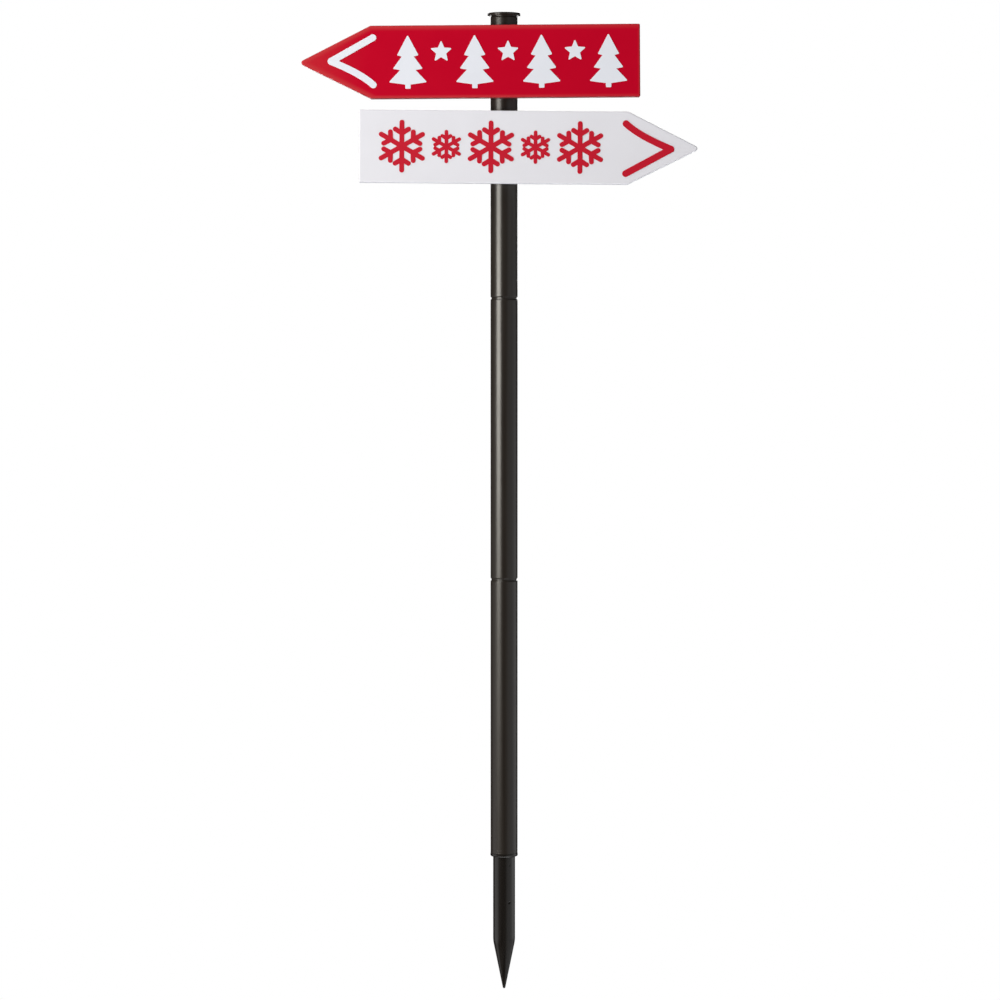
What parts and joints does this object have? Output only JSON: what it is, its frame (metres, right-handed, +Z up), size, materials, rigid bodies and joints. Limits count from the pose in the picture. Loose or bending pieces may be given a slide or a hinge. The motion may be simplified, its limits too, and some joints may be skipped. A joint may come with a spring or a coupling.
{
  "type": "solar christmas sign",
  "caption": "Solar garden sign: a red and a white arrow board clamped to a slim round post with a solar cap and a ground spike.",
  "frame": {"origin": "on the post's axis, at the shoulder where the spike's round shank meets its stop collar", "axes": "+Z up along the post, the boards face -Y, +X to the right seen from the front"},
  "size_m": [0.391, 0.0485, 0.9765],
  "materials": {
    "post_plastic": "satin, very dark brown",
    "red_plastic": "translucent red, soft gloss",
    "white_plastic": "translucent milk white, soft gloss",
    "white_print": "raised print",
    "red_print": "raised print",
    "solar_cell": "dark blue silicon with thin grid lines",
    "clear_window": "clear resin",
    "black_rubber": "matte",
    "steel": "bright zinc plated",
    "contact_metal": "nickel plated",
    "circuit_board": "green solder mask",
    "led": "yellow phosphor in a clear lens",
    "battery_sleeve": "plain green sleeve",
    "lead_black": "matte",
    "lead_red": "matte",
    "ribbon": "satin",
    "switch_case": "stamped case",
    "switch_black": "matte"
  },
  "bodies": {
    "root": {"solar_cap_housing": "post_plastic", "solar_cell": "solar_cell", "cell_window": "clear_window", "cap_seal_ring": "black_rubber", "post_tube_top": "post_plastic", "post_tube_middle": "post_plastic", "post_tube_bottom": "post_plastic", "post_coupler_upper": "post_plastic", "post_coupler_lower": "post_plastic", "ground_spike": "post_plastic", "red_sign_front": "red_plastic", "red_sign_arrow": "white_print", "red_sign_trees": "white_print", "red_sign_back": "red_plastic", "red_sign_clamp": "post_plastic", "red_sign_clamp_screws": "steel", "red_sign_case_screws": "steel", "red_sign_led_board": "circuit_board", "red_sign_leds": "led", "red_sign_lead_bush": "black_rubber", "white_sign_front": "white_plastic", "white_sign_arrow": "red_print", "white_sign_snowflakes": "red_print", "white_sign_back": "white_plastic", "white_sign_clamp": "post_plastic", "white_sign_clamp_screws": "steel", "white_sign_case_screws": "steel", "white_sign_led_board": "circuit_board", "white_sign_leds": "led", "white_sign_lead_bush": "black_rubber", "battery": "battery_sleeve", "battery_spring": "steel", "battery_contacts": "contact_metal", "battery_lead": "lead_red", "battery_door": "red_plastic", "battery_door_screw": "steel", "battery_door_gasket": "black_rubber", "control_board": "circuit_board", "control_board_screws": "steel", "board_ribbon": "ribbon", "switch_body": "switch_case", "solar_lead": "lead_black", "sign_link_lead": "lead_black"},
    "slider": {"switch_slider": "switch_black"}
  },
  "joints": [
    {"name": "switch_slide", "type": "slide", "parent": "root", "child": "slider", "axis": [-1, 0, -0.0077], "range_m": [0, 0.0025]}
  ]
}
